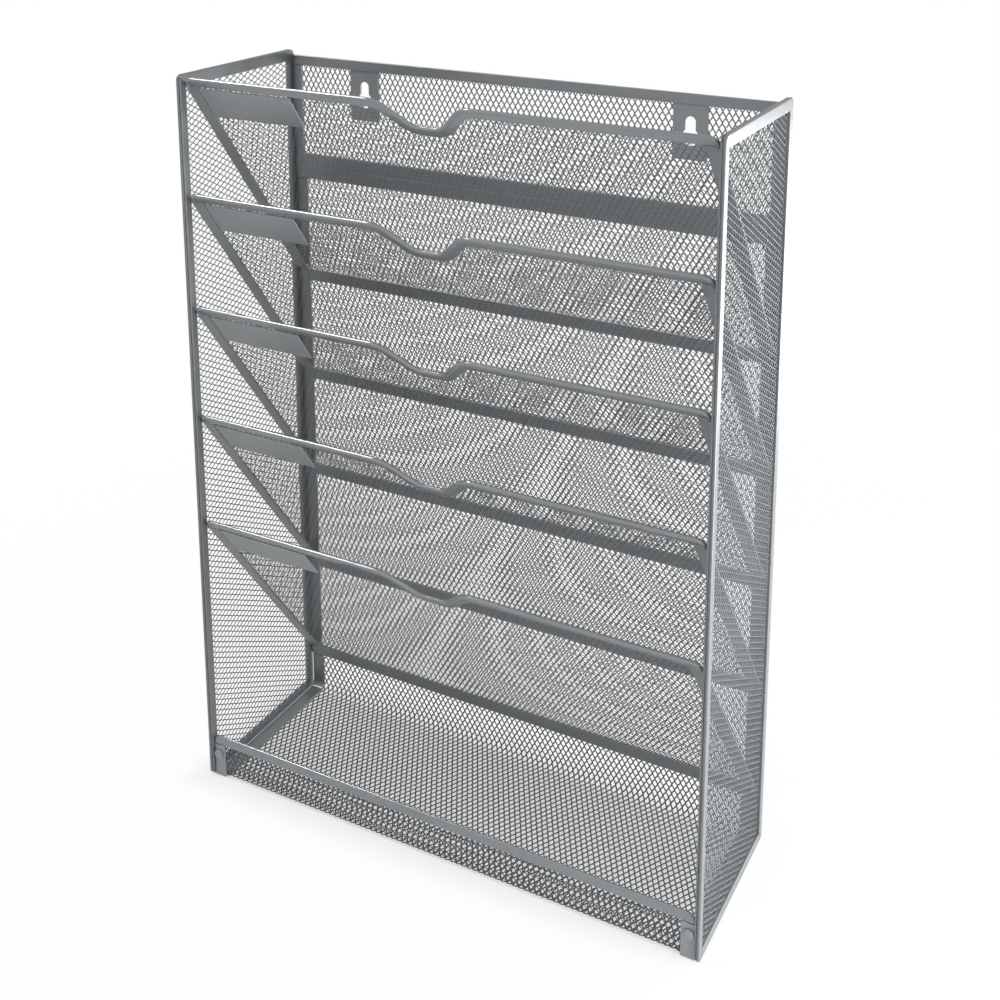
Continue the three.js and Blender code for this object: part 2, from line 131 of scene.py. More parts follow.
deselect_all()
ground_wide = 30
ground_below = 0.0004
bpy.ops.mesh.primitive_plane_add(size=ground_wide, location=(0, 0, -ground_below))
ground = bpy.context.object
ground.name = "ground"
ground_white = bpy.data.materials.new("ground_white")
start, output = bare_tree(ground_white, "ShaderNodeOutputMaterial")
paper = start.node("ShaderNodeBsdfDiffuse", {}, {"Color": (0.9, 0.9, 0.9, 1)})
white = start.node("ShaderNodeEmission", {}, {"Color": (1, 1, 1, 1), "Strength": 1.0})
place = start.node("ShaderNodeTexCoord", {}, {}, "Object")
painted_shadow_half_wide = 0.155
painted_shadow_half_deep = 0.045
painted_shadow_edge = 0.03


def outside_strip(axis, half):
    """0 over a strip of ground under the object, where a shadow is painted, rising to 1 over the
    painted shadow's soft edge.
    """
    along = start.node("ShaderNodeSeparateXYZ", {}, {"Vector": place}, axis)
    return start.node(
        "ShaderNodeMapRange",
        {"interpolation_type": "SMOOTHSTEP"},
        {0: along.maths("ABSOLUTE", along), 1: half, 2: half + painted_shadow_edge},
    )


beside = outside_strip("X", painted_shadow_half_wide)
before = outside_strip("Y", painted_shadow_half_deep)
outside_painted_shadow = place.maths("MAXIMUM", beside, before)
distance = start.node("ShaderNodeVectorMath", {"operation": "LENGTH"}, {0: place}, "Value")
far_from = 0.2
far_to = 0.6
far = start.node("ShaderNodeMapRange", {}, {0: distance, 1: far_from, 2: far_to})
# The ground glows less under the organizer and a little less near it: a painted shadow, which also
# greys the ground seen through the mesh.
glow_under = 0.56
glow_beside = 0.40
glow_far_off = 1 - glow_under - glow_beside
glow = glow_under + outside_painted_shadow * glow_beside + far * glow_far_off
glow_share = white_to_rays(start) * glow
ground_mix = start.node("ShaderNodeMixShader", {}, {0: glow_share, 1: paper, 2: white})
ground_white.node_tree.links.new(ground_mix.socket, output.inputs["Surface"])
ground.data.materials.append(ground_white)

room_middle = Vector((0, 0, 0.22))
lamps = [
    ("rear_card", (0.37, 0.40, 0.22), 0.22, 0.24, 1.3),
    ("right_strip", (0.62, -0.05, 0.10), 0.5, 0.4, 8.5),
    ("left_softbox", (-0.94, -0.33, 1.52), 0.4, 0.3, 13),
    ("front_fill", (-0.7, -2.2, 0.1), 1.6, 1.2, 2.8),
]
for name, place, across, tall, power in lamps:
    bpy.ops.object.light_add(type="AREA", location=place)
    lamp = bpy.context.object
    lamp.name = name
    lamp.data.shape = "RECTANGLE"
    lamp.data.size = across
    lamp.data.size_y = tall
    lamp.data.energy = power
    aim = room_middle - Vector(place)
    lamp.rotation_euler = aim.to_track_quat("-Z", "Y").to_euler()

# The paint is a silver-grey powder coat, satin, with a fine metal flake and a faint orange-peel
# surface. It covers every strip, plate, strand and screw; each group gets a lighter or darker copy
# of it, which paints in the light and shade that falls on that group.
darkest = 0.88
lightest = 1.12
flakes_per_metre = 3200
peel_deep = 0.00012
painted_stripe_slant = 0.9


def powder_coat(name, colour, metal, gloss, peel, painted_mesh_stripes=None):
    """The coat in one colour: it drifts a little, flakes glint, and the surface is pebbled.

    The last argument, where given, paints slanted stripes of light and shade for the mesh pressed
    through a plate: where across they are strongest, where they have faded, and their pitch.
    """
    material = bpy.data.materials.new(name)
    start, output = bare_tree(material, "ShaderNodeOutputMaterial")
    place = start.node("ShaderNodeTexCoord", {}, {}, "Object")

    def cloud(scale, detail):
        """Soft noise with about as many blotches in a metre as scale says."""
        return start.node(
            "ShaderNodeTexNoise", {}, {"Vector": place, "Scale": scale, "Detail": detail}, "Fac"
        )

    drift = cloud(16, 3)
    handling = cloud(210, 4)
    pebbles = cloud(1100, 2)
    cells = start.node(
        "ShaderNodeTexVoronoi", {}, {"Vector": place, "Scale": flakes_per_metre}, "Color"
    )
    flake = start.node("ShaderNodeSeparateColor", {}, {"Color": cells}, "Red")
    dark = tuple(c * darkest for c in colour) + (1,)
    light = tuple(c * lightest for c in colour) + (1,)
    shade = drift * 0.45 + handling * 0.35 + flake * 0.2
    # Painted light and shade: slanted stripes for the mesh pressed through the plate, strongest
    # near one end and fading across.
    if painted_mesh_stripes:
        strongest, faded, pitch = painted_mesh_stripes
        across = start.node("ShaderNodeSeparateXYZ", {}, {"Vector": place}, "X")
        up = start.node("ShaderNodeSeparateXYZ", {}, {"Vector": place}, "Z")
        slanted = (across + up * painted_stripe_slant) * (2 * math.pi / pitch)
        painted_stripes = slanted.maths("SINE", slanted)
        fading = start.node(
            "ShaderNodeMapRange",
            {"interpolation_type": "SMOOTHSTEP"},
            {0: across, 1: faded, 2: strongest},
        )
        shade = shade + painted_stripes * fading * (handling * 0.8)
    base = start.node("ShaderNodeMix", {"data_type": "RGBA"}, {0: shade, 6: dark, 7: light}, 2)
    rough = gloss + (handling - 0.5) * 0.08 + (flake - 0.5) * 0.04
    height = pebbles * 0.7 + handling * 0.3
    bump = start.node(
        "ShaderNodeBump", {}, {"Strength": peel, "Distance": peel_deep, "Height": height}
    )
    coat = start.node(
        "ShaderNodeBsdfPrincipled",
        {},
        {"Base Color": base, "Roughness": rough, "Metallic": metal, "Normal": bump},
    )
    material.node_tree.links.new(coat.socket, output.inputs["Surface"])
    return material


# Expanded steel mesh: a sheet that is slit and drawn out into long diamonds. Its strands run in
# zigzags, join in short bonds and are twisted a little, so one slant catches more light.
# The mesh's coat is a darker copy of the one paint, which paints shade on the thin strands.
mesh_coat_painted_shade = powder_coat("coat_on_mesh_painted_shade", (0.13, 0.142, 0.15), 0.4, 0.36, 0.15)
long_pitch = 0.0064
short_pitch = 0.00365
strand_deep = 0.0006
bond_half = 0.00035
opening_half_long = 0.00234
opening_half_short = 0.001485
strand_tilt = 0.00016


def select_in(piece, part, test):
    """Selects in edit mode the vertices, edges or faces of a piece that pass a test."""
    bpy.context.view_layer.objects.active = piece
    bpy.ops.object.mode_set(mode="EDIT")
    bpy.ops.mesh.select_mode(type=part)
    bpy.ops.mesh.select_all(action="DESELECT")
    bpy.ops.object.mode_set(mode="OBJECT")
    mesh = piece.data
    places = {"VERT": mesh.vertices, "EDGE": mesh.edges, "FACE": mesh.polygons}[part]
    for item in places:
        item.select = test(item, mesh)
    bpy.ops.object.mode_set(mode="EDIT")


def choose(piece):
    """Selects one piece alone and makes it the active one."""
    deselect_all()
    piece.select_set(True)
    bpy.context.view_layer.objects.active = piece


def apply_place(piece):
    """Puts a piece's place, turn and scale into its mesh."""
    choose(piece)
    bpy.ops.object.transform_apply(location=True, rotation=True, scale=True)


def finish_modifier(piece, kind, settings):
    """Adds a modifier, sets it up and applies it."""
    choose(piece)
    modifier = piece.modifiers.new(kind.lower(), kind)
    for name, value in settings.items():
        setattr(modifier, name, value)
    bpy.ops.object.modifier_apply(modifier=modifier.name)


def join_pieces(pieces):
    deselect_all()
    for piece in pieces:
        piece.select_set(True)
    bpy.context.view_layer.objects.active = pieces[0]
    bpy.ops.object.join()
    return pieces[0]


def copy_of(piece):
    """A copy with its own mesh."""
    choose(piece)
    bpy.ops.object.duplicate()
    return bpy.context.object


def expanded_sheet(length, width, cut_away, deep, wider=0):
    """A flat sheet, X from 0 to its length, Z across its width, less what cut_away(x, z) names.

    deep is the depth of its strands, front to back, and wider is added to each of their edges.
    """
    half_short = opening_half_short - wider
    half_long = half_short * opening_half_long / opening_half_short

    # One opening: a ring of six points, drawn into a long diamond with short flats at its sides.
    deselect_all()
    bpy.ops.mesh.primitive_circle_add(
        vertices=6, radius=half_long, location=(0, 0, 0), rotation=(0, 0, math.pi / 2)
    )
    sheet = bpy.context.object
    apply_place(sheet)
    first_side = half_long * math.sin(math.radians(60))
    cell_half_long = long_pitch / 2 - bond_half
    side_x = bond_half * half_long / cell_half_long
    select_in(sheet, "VERT", lambda v, mesh: abs(v.co.y) > half_long / 4)
    bpy.ops.transform.resize(value=(side_x / (half_long / 2), half_short / first_side, 1))

    # Its edge is drawn out to the middle of the strands round it, on each face of the sheet.
    widen = (cell_half_long / half_long, short_pitch / 2 / half_short, 1)
    for face_side in (1, -1):
        bpy.ops.object.mode_set(mode="OBJECT")
        select_in(sheet, "VERT", lambda v, mesh: abs(v.co.z) < deep / 8)
        bpy.ops.mesh.extrude_region_move()
        bpy.ops.transform.resize(value=widen)
        bpy.ops.transform.translate(value=(0, 0, face_side * deep / 2))
    bpy.ops.object.mode_set(mode="OBJECT")

    # One long side of the opening goes forwards and the other back, which twists the strands.
    for side in (1, -1):
        select_in(
            sheet, "VERT", lambda v, mesh: half_short / 2 < v.co.y * side < short_pitch * 0.45
        )
        bpy.ops.transform.translate(value=(0, 0, -side * strand_tilt))
        bpy.ops.object.mode_set(mode="OBJECT")

    # Rows of openings, a second set of rows between them, and the sheet trimmed to its outline.
    across = math.ceil(width / short_pitch) + 2
    along = math.ceil(length / long_pitch) + 2
    sheet.location = (-long_pitch / 2, -across * short_pitch / 2, 0)
    apply_place(sheet)
    for count, step in ((along, (long_pitch, 0, 0)), (across, (0, short_pitch, 0))):
        row = {"use_relative_offset": False, "use_constant_offset": True}
        row.update({"count": count, "constant_offset_displace": step})
        finish_modifier(sheet, "ARRAY", row)
    between = copy_of(sheet)
    between.location = (long_pitch / 2, short_pitch / 2, 0)
    apply_place(between)
    sheet = join_pieces([sheet, between])
    bpy.ops.object.mode_set(mode="EDIT")
    bpy.ops.mesh.select_all(action="SELECT")
    bpy.ops.mesh.remove_doubles(threshold=deep / 20)
    bpy.ops.object.mode_set(mode="OBJECT")

    def outside(face, mesh):
        x, y = face.center.x, face.center.y
        return x < 0 or x > length or abs(y) > width / 2 or cut_away(x, y)

    select_in(sheet, "FACE", outside)
    bpy.ops.mesh.delete(type="FACE")
    bpy.ops.mesh.select_all(action="SELECT")
    bpy.ops.mesh.fill_holes(sides=24)
    bpy.ops.mesh.select_all(action="SELECT")
    bpy.ops.mesh.normals_make_consistent(inside=False)
    bpy.ops.object.mode_set(mode="OBJECT")
    sheet.rotation_euler = (math.pi / 2, 0, 0)
    apply_place(sheet)
    choose(sheet)
    bpy.ops.object.shade_smooth()
    return sheet


# Side panels: one sheet of mesh in a frame of steel channel, folded round the mesh's edge with a
# seam along its rim, mitred at the corners and welded. The outer leg is the thicker one. Both
# sheets lie the same way round, so their strands catch the light alike.
# The frames' coat is a darker copy of the one paint, which paints shade on their front faces.
side_coat_painted_shade = powder_coat("coat_on_side_frames_painted_shade", (0.195, 0.207, 0.215), 0.45, 0.36, 0.15)
side_low, side_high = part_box("side_left_front_stile")
top_low, top_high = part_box("side_left_top_rail")
bottom_low, bottom_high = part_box("side_left_bottom_rail")
panel_front = side_low.y
panel_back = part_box("side_left_back_stile")[1].y
panel_top = top_high.z
panel_bottom = bottom_low.z
opening_front = side_high.y
opening_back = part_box("side_left_back_stile")[0].y
opening_top = top_low.z
opening_bottom = bottom_high.z
corner_round = 0.003
mitre_gap = 0.00006
cutter_long = 0.02
panel_thick = side_high.x - side_low.x
outer_leg = 0.00175
outer_rounding = 0.0006
seam_end = 0.0021
inner_set_in = 0.0002
inner_rounding = 0.0003
web_start = 0.0012
web_end = seam_end + 0.0004
web_set_in = 0.0008
mid_y = (panel_front + panel_back) / 2
mid_z = (panel_top + panel_bottom) / 2
corners = {
    "top_front": (Vector((0, panel_front, panel_top)), Vector((0, opening_front, opening_top))),
    "top_back": (Vector((0, panel_back, panel_top)), Vector((0, opening_back, opening_top))),
    "bottom_front": (
        Vector((0, panel_front, panel_bottom)),
        Vector((0, opening_front, opening_bottom)),
    ),
    "bottom_back": (
        Vector((0, panel_back, panel_bottom)),
        Vector((0, opening_back, opening_bottom)),
    ),
}
strip_cuts = {
    "front_stile": (Vector((0, 1, 0)), ("top_front", "bottom_front")),
    "back_stile": (Vector((0, -1, 0)), ("top_back", "bottom_back")),
    "top_rail": (Vector((0, 0, -1)), ("top_front", "top_back")),
    "bottom_rail": (Vector((0, 0, 1)), ("bottom_front", "bottom_back")),
}


def round_edges(piece, rounding, segments, angle):
    """Rounds the edges that are sharper than an angle in degrees."""
    sharp = {"limit_method": "ANGLE", "angle_limit": math.radians(angle)}
    finish_modifier(piece, "BEVEL", {"width": rounding, "segments": segments, **sharp})


def frame_layer(from_x, to_x, set_in, rounding):
    """One leg of the frame's channel as a closed ring with rounded outer corners and edges."""
    deselect_all()
    mid_x = (from_x + to_x) / 2
    bpy.ops.mesh.primitive_cube_add(size=1, location=(mid_x, mid_y, mid_z))
    ring = bpy.context.object
    ring.scale = (
        to_x - from_x,
        panel_back - panel_front - 2 * set_in,
        panel_top - panel_bottom - 2 * set_in,
    )
    apply_place(ring)

    def runs_along_x(edge, mesh):
        a, b = (mesh.vertices[i].co for i in edge.vertices)
        return abs(a.y - b.y) < 1e-6 and abs(a.z - b.z) < 1e-6

    select_in(ring, "EDGE", runs_along_x)
    bpy.ops.mesh.bevel(offset=corner_round - set_in, segments=5, affect="EDGES")
    bpy.ops.object.mode_set(mode="OBJECT")
    deselect_all()
    hole_place = (mid_x, (opening_front + opening_back) / 2, (opening_top + opening_bottom) / 2)
    bpy.ops.mesh.primitive_cube_add(size=1, location=hole_place)
    hole = bpy.context.object
    hole.scale = (cutter_long, opening_back - opening_front, opening_top - opening_bottom)
    apply_place(hole)
    finish_modifier(ring, "BOOLEAN", {"operation": "DIFFERENCE", "object": hole, "solver": "EXACT"})
    bpy.data.objects.remove(hole)
    if rounding:
        round_edges(ring, rounding, 3, 50)
    return ring


def keep_side(piece, point, away):
    """Cuts a piece by a plane, closes the cut and drops the side that away points to."""
    bpy.context.view_layer.objects.active = piece
    bpy.ops.object.mode_set(mode="EDIT")
    bpy.ops.mesh.select_mode(type="FACE")
    bpy.ops.mesh.select_all(action="SELECT")
    bpy.ops.mesh.bisect(
        plane_co=point, plane_no=away, use_fill=True, clear_outer=True, threshold=1e-7
    )
    bpy.ops.object.mode_set(mode="OBJECT")


def cut_strip(ring, strip_name):
    """One mitred strip of a ring: the half that holds it, cut at its two mitre planes."""
    away_from_strip, mitres = strip_cuts[strip_name]
    strip = copy_of(ring)
    keep_side(strip, (0, mid_y, mid_z), away_from_strip)
    for mitre in mitres:
        outer, inner = corners[mitre]
        along = (inner - outer).normalized()
        away = Vector((0, -along.z, along.y))
        if away.dot(away_from_strip) < 0:
            away = -away
        keep_side(strip, outer - away * mitre_gap, away)
    return strip


def smooth_corners(piece):
    """Shades rounded edges smooth and keeps the flat faces between them flat."""
    choose(piece)
    bpy.ops.object.shade_smooth_by_angle(angle=math.radians(38))
    finish_modifier(piece, "WEIGHTED_NORMAL", {"keep_sharp": True, "weight": 100})


def hand_over(piece, name, nodes, coat):
    """Names a finished piece, paints it, and lets it stand for its CAD nodes."""
    apply_place(piece)
    piece.name = name
    piece.data.name = name
    piece.data.materials.clear()
    piece.data.materials.append(coat)
    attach(piece, "root")
    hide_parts(*nodes)


def side_frame(side, outer_x, inward):
    """The four strips of one side frame. inward is 1 for the left panel and -1 for the right."""
    legs = [
        frame_layer(outer_x + inward * start_x, outer_x + inward * end_x, set_in, rounding)
        for start_x, end_x, set_in, rounding in (
            (0, outer_leg, 0, outer_rounding),
            (web_start, web_end, web_set_in, 0),
            (seam_end, panel_thick, inner_set_in, inner_rounding),
        )
    ]
    for strip_name in strip_cuts:
        cuts = [cut_strip(leg, strip_name) for leg in legs]
        strip = join_pieces(cuts)
        smooth_corners(strip)
        name = f"{side}_{strip_name}"
        hand_over(strip, f"{name}_strip", [name], side_coat_painted_shade)
    for leg in legs:
        bpy.data.objects.remove(leg)


side_frame("side_left", side_low.x, 1)
side_frame("side_right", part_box("side_right_front_stile")[1].x, -1)


def keep_all(along, across):
    """For a sheet that nothing is cut out of."""
    return False


tucked = 0.0028
side_sheet = expanded_sheet(
    opening_back - opening_front + 2 * tucked,
    opening_top - opening_bottom + 2 * tucked,
    keep_all,
    strand_deep,
)
side_sheet.rotation_euler = (0, 0, -math.pi / 2)
side_sheet.location = (0, opening_back + tucked, (opening_top + opening_bottom) / 2)
apply_place(side_sheet)
right_sheet = copy_of(side_sheet)
for sheet, side in ((side_sheet, "side_left"), (right_sheet, "side_right")):
    low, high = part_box(f"{side}_mesh")
    sheet.location.x = (low.x + high.x) / 2
    hand_over(sheet, f"{side}_expanded_mesh", [f"{side}_mesh"], mesh_coat_painted_shade)

# Strips of the upper back panel: flat steel folded in two round the mesh's edge and spot welded,
# with slightly rounded folds. The lowest strip reaches down to the first pocket's back strip.
strip_coat = powder_coat("coat_on_strips", (0.255, 0.27, 0.28), 0.45, 0.36, 0.15)
fold_rounding = 0.0003
hem_reach = 0.0011


def folded_strip(low, high, rounding=fold_rounding):
    """A straight strip that fills the box between two corners, with rounded edges."""
    deselect_all()
    bpy.ops.mesh.primitive_cube_add(size=1, location=(low + high) / 2)
    strip = bpy.context.object
    strip.scale = high - low
    apply_place(strip)
    round_edges(strip, rounding, 4, 30)
    smooth_corners(strip)
    return strip


for node in ("back_top_rail", "back_bottom_hem", "back_left_stile", "back_right_stile"):
    low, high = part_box(node)
    if node == "back_bottom_hem":
        low.z -= hem_reach
    strip = folded_strip(low, high)
    hand_over(strip, f"{node}_strip", [node], strip_coat)

# Mesh of the upper back panel: one sheet with its long diamonds upright, held by the strips at
# its edges, and with a window cut for each keyhole plate.


def stand_up(piece):
    """Turns a piece drawn in section, so X runs to the back, Y up and Z to the right."""
    piece.rotation_euler = (math.pi / 2, 0, math.pi / 2)
    apply_place(piece)


back_low, back_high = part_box("back_mesh")
plates = [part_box("hanger_left"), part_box("hanger_right")]
rail_low, rail_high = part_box("back_top_rail")
back_plane = (rail_low.y + rail_high.y) / 2
strip_tuck = 0.0035
sheet_bottom = back_low.z - strip_tuck
sheet_top = back_high.z + strip_tuck
window_edge = 0.001
back_strand_wider = 0.00007


def in_plate_window(along, across):
    height = sheet_bottom + along
    return any(
        low.x + window_edge < across < high.x - window_edge and height > low.z + window_edge
        for low, high in plates
    )


back_sheet = expanded_sheet(
    sheet_top - sheet_bottom,
    back_high.x - back_low.x + 2 * strip_tuck,
    in_plate_window,
    strand_deep,
    back_strand_wider,
)
back_sheet.rotation_euler = (0, 0, math.pi / 2)
apply_place(back_sheet)
back_sheet.location = (back_plane, sheet_bottom, 0)
apply_place(back_sheet)
stand_up(back_sheet)
hand_over(back_sheet, "back_expanded_mesh", ["back_mesh"], mesh_coat_painted_shade)

# Keyhole plates: pressed steel, welded into the windows of the upper back panel. A screw head
# goes in at the round part and its shank slides up the slot.
plate_coat = powder_coat("coat_on_plates", (0.285, 0.3, 0.31), 0.45, 0.38, 0.2)
slot_wide = 0.006
round_wide = 0.010
round_below_top = 0.0182
slot_top_gap = 0.0065
slot_below_top = slot_top_gap + slot_wide / 2
plate_rounding = 0.00025
plate_cutter = 0.01


def keyhole_plate(low, high):
    deselect_all()
    bpy.ops.mesh.primitive_cube_add(size=1, location=(low + high) / 2)
    plate = bpy.context.object
    plate.scale = high - low
    apply_place(plate)
    middle_x = (low.x + high.x) / 2
    slot_z = high.z - slot_below_top
    round_z = high.z - round_below_top
    cutters = []
    for radius, level in ((slot_wide / 2, slot_z), (round_wide / 2, round_z)):
        deselect_all()
        bpy.ops.mesh.primitive_cylinder_add(
            vertices=48,
            radius=radius,
            depth=plate_cutter,
            location=(middle_x, high.y, level),
            rotation=(math.pi / 2, 0, 0),
        )
        cutters.append(bpy.context.object)
    deselect_all()
    bpy.ops.mesh.primitive_cube_add(size=1, location=(middle_x, high.y, (slot_z + round_z) / 2))
    neck = bpy.context.object
    neck.scale = (slot_wide, plate_cutter, slot_z - round_z)
    cutters.append(neck)
    for cutter in cutters:
        apply_place(cutter)
        finish_modifier(plate, "BOOLEAN", {"operation": "DIFFERENCE", "object": cutter})
        bpy.data.objects.remove(cutter)
    round_edges(plate, plate_rounding, 2, 40)
    smooth_corners(plate)
    return plate


for node in ("hanger_left", "hanger_right"):
    hand_over(keyhole_plate(*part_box(node)), f"{node}_plate", [node], plate_coat)

# Pockets: each is one mesh sheet that slants down from the rim to the back, turns at the foot
# and rises up the back. The five are alike, so each piece is made once and copied down.
pocket_count = 5
first_rim_low, first_rim_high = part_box("pocket_1_rim")
end_gap = 0.0018
left_edge, right_edge = first_rim_low.x + end_gap, first_rim_high.x - end_gap
pocket_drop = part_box("pocket_1_rim")[0].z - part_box("pocket_2_rim")[0].z
rim_setback = 0.0012
slant_drop = 0.140
rim_below_top = 0.0015
foot_offset = 0.0035
foot_radius = 0.002
hem_wide = 0.0066
back_hem_low, back_hem_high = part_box("pocket_1_back_hem")
foot_level = panel_top - rim_below_top - slant_drop
rim_point = Vector((panel_front + rim_setback, foot_level + slant_drop, 0))
foot_point = Vector((back_plane, foot_level - foot_offset, 0))
downhill = (foot_point - rim_point).normalized()
slant_angle = math.asin(downhill.x)
rim_tall = 0.0062


def copy_down(piece, piece_name, node_name, coat):
    """Hands over a piece as the top pocket's and a copy for each pocket below it."""
    copies = [piece] + [copy_of(piece) for number in range(1, pocket_count)]
    for number, pocket_piece in enumerate(copies, start=1):
        pocket_piece.location.z -= (number - 1) * pocket_drop
        nodes = [f"pocket_{number}_{node_name}"]
        hand_over(pocket_piece, f"pocket_{number}_{piece_name}", nodes, coat)


# Rim strip with its finger notch: flat steel over the top edge of the mesh, its own top edge
# rolled to the front into a small bead. It is drawn flat, X across and Y up the slope, and then
# laid on the slant.


def bent_line(corners, radii):
    """A line through the corners in the XY plane, each inner corner turned with its radius."""
    deselect_all()
    bpy.ops.mesh.primitive_plane_add(size=0.001)
    line = bpy.context.object
    bpy.ops.object.mode_set(mode="EDIT")
    bpy.ops.mesh.select_mode(type="VERT")
    bpy.ops.mesh.select_all(action="SELECT")
    bpy.ops.mesh.merge(type="CENTER")
    bpy.ops.transform.translate(value=corners[0])
    at = corners[0]
    for before, corner, radius, onward in zip(corners, corners[1:], radii, corners[2:]):
        back_way = (before - corner).normalized()
        next_way = (onward - corner).normalized()
        half_angle = back_way.angle(next_way) / 2
        reach = radius / math.tan(half_angle)
        turn_start = corner + back_way * reach
        centre = corner + (back_way + next_way).normalized() * radius / math.sin(half_angle)
        turn = math.pi - 2 * half_angle
        if back_way.cross(next_way).z < 0:
            turn = -turn
        bpy.ops.mesh.extrude_region_move(TRANSFORM_OT_translate={"value": turn_start - at})
        bpy.ops.mesh.spin(steps=10, angle=turn, center=centre, axis=(0, 0, 1))
        at = corner + next_way * reach
    bpy.ops.mesh.extrude_region_move(TRANSFORM_OT_translate={"value": corners[-1] - at})
    bpy.ops.mesh.select_all(action="SELECT")
    bpy.ops.mesh.remove_doubles(threshold=1e-6)
    bpy.ops.object.mode_set(mode="OBJECT")
    return line


notch_wide = 0.0506
notch_bottom_wide = 0.0174
notch_deep = 0.018
shoulder_radius = 0.014
hollow_radius = 0.010
notch_centre = -0.005
rim_corner = 0.0045
strip_thick = 0.0012
bead_radius = 0.0013
bead_below_top = 0.8 * bead_radius
rim_rounding = 0.0005
rim_coat = powder_coat("coat_on_rims", (0.25, 0.265, 0.275), 0.45, 0.18, 0.05)


def rim_corners(inset):
    """Corners of the rim's top line, moved inwards by an even distance, left to right."""
    half = notch_wide / 2
    bottom = notch_bottom_wide / 2
    flank = Vector((half - bottom, notch_deep, 0)).normalized()
    at_shoulder = inset * math.tan((math.pi / 2 - math.atan2(flank.x, flank.y)) / 2)
    notch = [
        (notch_centre - half - at_shoulder, -inset),
        (notch_centre - bottom - at_shoulder, -notch_deep - inset),
        (notch_centre + bottom + at_shoulder, -notch_deep - inset),
        (notch_centre + half + at_shoulder, -inset),
    ]
    return [Vector((x, y, 0)) for x, y in notch]


def on_slant(piece):
    """Lays a piece drawn flat on the slanted plane of the top pocket, with Y up the slope."""
    piece.rotation_euler = (math.pi / 2 + slant_angle, 0, 0)
    piece.location = (0, rim_point.x, rim_point.y)
    apply_place(piece)


top_line = bent_line(
    [
        Vector((left_edge, -rim_tall, 0)),
        Vector((left_edge, 0, 0)),
        *rim_corners(0),
        Vector((right_edge, 0, 0)),
        Vector((right_edge, -rim_tall, 0)),
    ],
    [rim_corner, shoulder_radius, hollow_radius, hollow_radius, shoulder_radius, rim_corner],
)
inner_shoulder = shoulder_radius - rim_tall
inner_hollow = hollow_radius + rim_tall
bottom_line = bent_line(
    [
        Vector((left_edge, -rim_tall, 0)),
        *rim_corners(rim_tall),
        Vector((right_edge, -rim_tall, 0)),
    ],
    [inner_shoulder, inner_hollow, inner_hollow, inner_shoulder],
)
rim_edge_line = copy_of(top_line)
rim = join_pieces([top_line, bottom_line])
bpy.ops.object.mode_set(mode="EDIT")
bpy.ops.mesh.select_mode(type="VERT")
bpy.ops.mesh.select_all(action="SELECT")
bpy.ops.mesh.remove_doubles(threshold=1e-5)
bpy.ops.mesh.edge_face_add()
bpy.ops.mesh.normals_make_consistent(inside=False)
bpy.ops.object.mode_set(mode="OBJECT")
finish_modifier(rim, "SOLIDIFY", {"thickness": strip_thick, "offset": 0})
round_edges(rim, rim_rounding, 3, 60)
choose(rim_edge_line)
bpy.ops.object.convert(target="CURVE")
rim_edge_line.data.bevel_depth = bead_radius
rim_edge_line.data.bevel_resolution = 3
rim_edge_line.data.use_fill_caps = True
choose(rim_edge_line)
bpy.ops.object.convert(target="MESH")
rim_edge_line.location = (0, -bead_below_top, 0)
apply_place(rim_edge_line)
bpy.ops.object.mode_set(mode="EDIT")
bpy.ops.mesh.select_all(action="SELECT")
bpy.ops.mesh.remove_doubles(threshold=1e-6)
bpy.ops.object.mode_set(mode="OBJECT")
rim = join_pieces([rim, rim_edge_line])
smooth_corners(rim)
on_slant(rim)
copy_down(rim, "notched_rim", "rim", rim_coat)

# Mesh sheet of a pocket: one sheet bent at the foot. Its top edge is tucked under the rim strip
# and follows the notch, and its other edges are tucked under the side and back strips.


def line_length(line):
    points = [point.co for point in line.data.vertices]
    ends = [edge.vertices for edge in line.data.edges]
    return sum((points[a] - points[b]).length for a, b in ends)


def bend_along(sheet, line):
    """Bends a flat sheet along a line with a Curve modifier."""
    guide = copy_of(line)
    choose(guide)
    bpy.ops.object.convert(target="CURVE")
    guide.data.dimensions = "2D"
    finish_modifier(sheet, "CURVE", {"object": guide, "deform_axis": "POS_X"})
    bpy.data.objects.remove(guide)


rim_tuck = 0.0031
notch_margin = 0.003
pocket_strand_deep = 0.0004
flange_tuck = back_hem_low.z + strip_tuck
sheet_line = bent_line(
    [rim_point + downhill * rim_tuck, foot_point, Vector((back_plane, flange_tuck, 0))],
    [foot_radius],
)


def above_notch_line(along, across):
    """True where the sheet would stand above the middle of the rim strip in the notch."""
    from_centre = abs(across - notch_centre)
    half, bottom = notch_wide / 2, notch_bottom_wide / 2
    share = min(max((half + notch_margin - from_centre) / (half - bottom), 0), 1)
    return along < notch_deep * (3 * share**2 - 2 * share**3)


pocket_sheet = expanded_sheet(
    line_length(sheet_line),
    right_edge - left_edge - 2 * (hem_wide - strip_tuck),
    above_notch_line,
    pocket_strand_deep,
)
bend_along(pocket_sheet, sheet_line)
stand_up(pocket_sheet)
copy_down(pocket_sheet, "expanded_mesh", "mesh", mesh_coat_painted_shade)

# Side strips of a pocket, folded round the sheet's edge and bent with it, and the straight strip
# along the top of its rear part.
hem_thick = 0.0016
hem_rounding = 0.0006
seam = 0.00015


